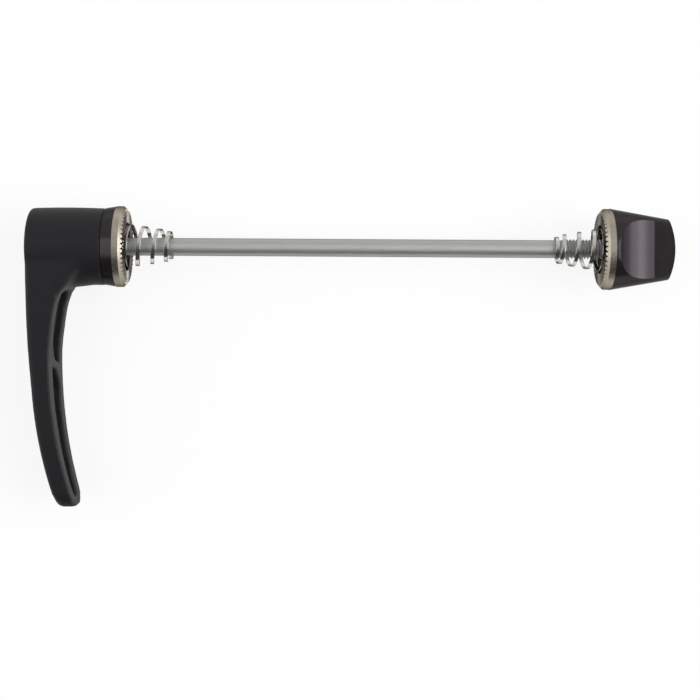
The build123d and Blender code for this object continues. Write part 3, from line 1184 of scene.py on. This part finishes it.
@dataclass
class Lever(Piece):
    """The lever's moulding: the CAD solid with the soft rounds that its mould gives every edge.

    A pair of places in millimetres is where a change of the shape starts and where it is full.
    """

    slots: Slots = field(default_factory=Slots)
    voxel_mm: float = 0.24
    strength: float = 0.5
    passes: int = 12
    root_passes: int = 70
    root_from_mm: Spot = (-16.8, -12.6, -8.6)
    root_to_mm: Spot = (-7.8, -6.8, 8.6)
    blend_passes: int = 45
    blend_from_mm: Spot = (-16.5, -10.8, -10.0)
    blend_to_mm: Spot = (-6.8, -1.5, 10.0)
    tip_passes: int = 40
    tip_corner_mm: Point = (-15.6, -61.5)
    end_passes: int = 5
    tip_y_mm: float = -62.9
    hollow_d_mm: float = 17.4
    barrel_d_mm: float = 19.2
    crown_mm: float = 0.18
    crown_shift_mm: float = 0.05
    plain_end_mm: float = 0.7
    seam_mm: float = 0.33
    outer_x_mm: Point = (-19.5, -17.0)
    inner_x_mm: Point = (-7.5, -10.0)
    flare_mm: float = 1.0
    flare_y_mm: Point = (-11.2, -8.8)
    flare_top_y_mm: Point = (-2.0, -5.0)
    trim_mm: float = 0.2
    trim_y_mm: Point = (-20.5, -14.5)
    trim_top_y_mm: Point = (-8.5, -10.0)
    sag_mm: float = 0.56
    sag_x_mm: Point = (-8.2, -12.9)
    sag_outer_x_mm: Point = (-19.5, -16.0)
    sag_y_mm: Point = (-15.0, -11.0)
    sag_top_y_mm: Point = (-6.5, -9.2)
    lean_mm: float = 0.16
    lean_y_mm: Point = (-22.0, -36.0)
    end_y_mm: float = -64.6
    end_share: float = 0.15

    def build(self) -> Object:
        """Lays a skin over the CAD solid and softens, flares and crowns it.

        Returns:
            The finished lever.
        """
        solid = place(self.name + "_solid", self.merged_copy())
        remesh = solid.modifiers.new("skin", "REMESH")
        remesh.mode = "VOXEL"
        remesh.voxel_size = self.voxel_mm * MM
        mesh = evaluated_mesh(solid)
        bm = bmesh.new()
        bm.from_mesh(mesh)
        inner_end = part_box(self.node)[1].x - self.plain_end_mm * MM
        hollow = self.hollow_d_mm * MM / 2
        skin = [v for v in bm.verts
                if v.co.x < inner_end and (v.co.y < -hollow or math.hypot(v.co.y, v.co.z) > hollow)]
        self.soften(bm, skin, self.passes)
        self.flare(skin)
        for start, end, passes in ((self.root_from_mm, self.root_to_mm, self.root_passes),
                                   (self.blend_from_mm, self.blend_to_mm, self.blend_passes)):
            low, high = Vector(start) * MM, Vector(end) * MM
            self.soften(bm, [v for v in skin if all(a < b < c for a, b, c in zip(low, v.co, high))], passes)
        corner_x, corner_y = (value * MM for value in self.tip_corner_mm)
        self.soften(bm, [v for v in skin if v.co.x < corner_x and v.co.y < corner_y], self.tip_passes)
        self.soften(bm, [v for v in skin if v.co.y < self.tip_y_mm * MM], self.end_passes)
        self.crown(bm)
        bm.to_mesh(mesh)
        bm.free()
        return self.dress(mesh)

    def merged_copy(self) -> Mesh:
        """Copies the CAD solid's mesh, joins its loose triangles and narrows its pockets.

        Returns:
            The copy.
        """
        bm = bmesh.new()
        bm.from_mesh(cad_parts[self.node].data)
        bmesh.ops.remove_doubles(bm, verts=bm.verts, dist=WELD)
        self.slots.add_rims(bm)
        return to_mesh(bm, self.name)

    def soften(self, bm: BMesh, verts: list[BMVert], passes: int) -> None:
        """Rounds the edges of a part of the skin, and fills its hollow corners.

        Args:
            bm: The lever's skin.
            verts: The part to round.
            passes: How often it is smoothed.
        """
        for _ in range(passes):
            bmesh.ops.smooth_vert(bm, verts=verts, factor=self.strength,
                                  use_axis_x=True, use_axis_y=True, use_axis_z=True)

    def flare(self, verts: list[BMVert]) -> None:
        """Widens the arm's root, sags the barrel's underside into it, leans the arm and shortens its tip.

        Args:
            verts: The lever's skin.
        """
        for vert in verts:
            x, y, _ = (value / MM for value in vert.co)
            widened = self.flare_mm * ease(y, *self.flare_y_mm) * ease(y, *self.flare_top_y_mm)
            trimmed = self.trim_mm * ease(y, *self.trim_y_mm) * ease(y, *self.trim_top_y_mm)
            inner_side = ease(x, *self.outer_x_mm) * ease(x, *self.inner_x_mm)
            leant = self.lean_mm * ease(y, *self.lean_y_mm)
            vert.co.x += ((widened - trimmed) * inner_side + leant) * MM
            under = ease(x, *self.sag_x_mm) * ease(x, *self.sag_outer_x_mm)
            vert.co.y -= self.sag_mm * MM * under * ease(y, *self.sag_y_mm) * ease(y, *self.sag_top_y_mm)
            if y < self.end_y_mm:
                vert.co.y = (self.end_y_mm + self.end_share * (y - self.end_y_mm)) * MM

    def crown(self, bm: BMesh) -> None:
        """Swells the barrel's middle, clear of the arm, and draws its inner end out to the cone.

        Args:
            bm: The lever's skin.
        """
        low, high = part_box(self.node)
        hollow = self.hollow_d_mm * MM / 2
        radius = self.barrel_d_mm * MM / 2
        for vert in bm.verts:
            if vert.co.x > high.x - self.seam_mm * MM:
                vert.co.x += self.seam_mm * MM
            from_axis = math.hypot(vert.co.y, vert.co.z)
            if from_axis < hollow or vert.co.y < -radius:
                continue
            share = 2 * (vert.co.x - low.x) / (high.x - low.x) - 1
            swell = (self.crown_shift_mm - self.crown_mm * share * share) * MM
            grown = from_axis + swell * share_of(vert.co.y, -radius, 0)
            vert.co.y *= grown / from_axis
            vert.co.z *= grown / from_axis


@dataclass
class CadDress:
    """The CAD nodes that keep their own solids, with the finish of each."""

    finishes: dict[str, Finish]

    def build(self) -> None:
        """Gives each node its finish."""
        for node, finish in self.finishes.items():
            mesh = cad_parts[node].data
            mesh.materials.clear()
            mesh.materials.append(finish.material())
            log.info("%s: %s", node, finish.name)


@dataclass(frozen=True)
class SoftBox:
    """A rectangular studio lamp that faces the object. Lengths are in metres."""

    name: str
    tilt_x_deg: float
    tilt_y_deg: float
    distance: float
    width: float
    depth: float
    radiance: float
    target: Spot

    def build(self) -> None:
        """Adds the lamp, unseen by the camera itself."""
        data = bpy.data.lights.new(self.name, "AREA")
        data.shape = "RECTANGLE"
        data.size, data.size_y = self.depth, self.width
        data.energy = self.radiance * math.pi * self.width * self.depth
        lamp = bpy.data.objects.new(self.name, data)
        slopes = (math.tan(math.radians(tilt)) for tilt in (self.tilt_x_deg, self.tilt_y_deg))
        away = Vector((*slopes, 1.0))
        away.normalize()
        lamp.location = Vector(self.target) + away * self.distance
        lamp.rotation_euler = away.to_track_quat("Z", "Y").to_euler()
        lamp.visible_camera = False
        bpy.context.scene.collection.objects.link(lamp)


@dataclass(frozen=True)
class RoomSide:
    """A side of the room, whose light rises from dim at start to bright at end, both along one axis."""

    axis: str
    start: float
    end: float
    dim: float
    bright: float


@dataclass
class Studio:
    """A white floor under soft boxes, and a camera straight above, as in the photograph."""

    image_px: float = 700.0
    mm_per_px: float = 0.2485
    clamp_face_px: float = 127.8
    axis_at_middle_px: float = 247.9
    centre_px: Point = (346.0, 265.0)
    height_mm: float = 333.0
    tilt: float = 0.0059
    sensor_mm: float = 36.0
    floor_size: float = 8.0
    floor_drop_mm: float = 0.08
    floor_colour: str = "#f6f6f5"
    floor_glow: float = 0.865
    floor_share: float = 0.145
    boxes: tuple[SoftBox, ...] = (
        SoftBox("right_box", tilt_x_deg=53.0, tilt_y_deg=0.0, distance=0.9, width=1.08, depth=0.8,
                radiance=2.4, target=(0.128, 0.0, 0.0)),
        SoftBox("right_core", tilt_x_deg=55.0, tilt_y_deg=0.0, distance=0.88, width=0.28, depth=0.45,
                radiance=2.4, target=(0.128, 0.0, 0.0)),
        SoftBox("left_box", tilt_x_deg=-34.0, tilt_y_deg=-4.0, distance=0.9, width=0.5, depth=0.8,
                radiance=1.45, target=(-0.005, 0.0, 0.0)),
    )
    sides: tuple[RoomSide, ...] = (
        RoomSide("Y", start=-0.5, end=0.8, dim=0.06, bright=0.68),
        RoomSide("X", start=0.62, end=0.95, dim=0.0, bright=0.9),
        RoomSide("X", start=-0.72, end=-0.97, dim=0.0, bright=1.6),
    )

    def build(self) -> None:
        """Builds the camera, the floor, the world and the lamps."""
        self.add_camera()
        self.add_floor()
        self.add_world()
        for box in self.boxes:
            box.build()
        bpy.context.scene.view_settings.view_transform = "Standard"

    def add_camera(self) -> None:
        """Adds the camera, with the photograph's own scale, height and off-centre frame."""
        data = bpy.data.cameras.new("photo_camera")
        focal_px = self.height_mm / self.mm_per_px
        data.sensor_width = self.sensor_mm
        data.lens = focal_px / self.image_px * self.sensor_mm
        middle = self.image_px / 2
        data.shift_x = (middle - self.centre_px[0]) / self.image_px
        data.shift_y = (self.centre_px[1] - middle) / self.image_px
        camera = bpy.data.objects.new("photo_camera", data)
        x = (self.centre_px[0] - self.clamp_face_px) * self.mm_per_px
        y = (self.axis_at_middle_px - self.centre_px[1]) * self.mm_per_px
        camera.location = Vector((x, y, self.height_mm)) * MM
        camera.rotation_euler = (0.0, 0.0, self.tilt)
        bpy.context.scene.collection.objects.link(camera)
        bpy.context.scene.camera = camera

    def add_floor(self) -> None:
        """Adds the white floor, which glows where it is seen so that only soft shadows are left on it."""
        bm = bmesh.new()
        bmesh.ops.create_grid(bm, x_segments=1, y_segments=1, size=self.floor_size / 2)
        bmesh.ops.translate(bm, verts=bm.verts, vec=(0, 0, CAD_BOX[0][2] - self.floor_drop_mm * MM))
        mesh = to_mesh(bm, "floor")
        paper = bpy.data.materials.new("paper_white")
        paper.use_nodes = True
        tree = paper.node_tree
        tree.nodes.clear()
        rays = add_node(tree, "ShaderNodeLightPath", {}).outputs
        seen = rays["Is Camera Ray"]
        for ray in ("Is Glossy Ray", "Is Transmission Ray"):
            seen = add_node(tree, "ShaderNodeMath", {0: seen, 1: rays[ray]}, operation="MAXIMUM").outputs[0]
        plain = add_node(tree, "ShaderNodeBsdfDiffuse", {"Color": linear(self.floor_colour)})
        share = self.floor_share
        dim = add_node(tree, "ShaderNodeBsdfDiffuse", {"Color": (share, share, share, 1.0)})
        glow = add_node(tree, "ShaderNodeEmission", {"Color": (1, 1, 1, 1), "Strength": self.floor_glow})
        shown = add_node(tree, "ShaderNodeAddShader", {0: dim.outputs[0], 1: glow.outputs[0]})
        mixed = add_node(tree, "ShaderNodeMixShader", {0: seen, 1: plain.outputs[0], 2: shown.outputs[0]})
        add_node(tree, "ShaderNodeOutputMaterial", {"Surface": mixed.outputs[0]})
        mesh.materials.append(paper)
        place("floor", mesh)

    def add_world(self) -> None:
        """Adds the room: pale behind the object and past both its ends, dim overhead, dark on the near side."""
        world = bpy.data.worlds.new("room")
        world.use_nodes = True
        tree = world.node_tree
        tree.nodes.clear()
        towards = add_node(tree, "ShaderNodeTexCoord", {}).outputs["Generated"]
        split = add_node(tree, "ShaderNodeSeparateXYZ", {"Vector": towards})
        level: NodeSocket | float = 0.0
        for side in self.sides:
            lit = add_node(tree, "ShaderNodeMapRange", {
                "Value": split.outputs[side.axis], "From Min": side.start, "From Max": side.end,
                "To Min": side.dim, "To Max": side.bright}, interpolation_type="SMOOTHSTEP")
            level = add_node(tree, "ShaderNodeMath", {
                0: lit.outputs["Result"], 1: level}, operation="ADD").outputs[0]
        room = add_node(tree, "ShaderNodeBackground", {"Color": (1, 1, 1, 1), "Strength": level})
        add_node(tree, "ShaderNodeOutputWorld", {"Surface": room.outputs[0]})
        bpy.context.scene.world = world


def main() -> None:
    """Builds the studio and every piece of the skewer."""
    logging.basicConfig(level=logging.INFO, format="%(name)s: %(message)s")
    Studio().build()
    Rod("rod_threaded", "skewer_rod", Body.ROD, "rod_steel", ROD_STEEL).build()
    ConicalSpring("lever_spring_wire", "lever_side_spring", Body.CLAMP_WASHER, "spring_steel", WIRE,
                  off_axis_mm=0.26).build()
    ConicalSpring("nut_spring_wire", "nut_side_spring", Body.NUT_SPRING, "spring_steel", WIRE,
                  end_deg=137.0, faces_lever=True, small_radius_mm=2.8, taper_power=1.12,
                  off_axis_mm=-0.15).build()
    ReturnSpring("return_spring_wire", "return_spring", Body.ROD, "spring_steel", WIRE,
                 turns=2.5, flat_below_deg=40.0).build()
    Cone("cone_turned", "clamp_cone", Body.CLAMP_WASHER, "black_anodised", ANODISED).build()
    Nut("nut_milled", "nut_body", Body.NUT, "black_anodised", ANODISED).build()
    Lever("lever_moulded", "lever", Body.LEVER, "lever_moulding", NYLON).build()
    CadDress({
        "drive_hub": MACHINED,
        "thrust_washer": ACETAL,
        "lever_serrated_ring": NICKEL,
        "lever_spline_insert": MACHINED,
        "retaining_washer": MACHINED,
        "retaining_screw": MACHINED,
        "end_cap": NYLON,
        "nut_serrated_ring": NUT_NICKEL,
        "nut_lock_insert": LOCK_NYLON,
    }).build()


if __name__ == "__main__":
    main()
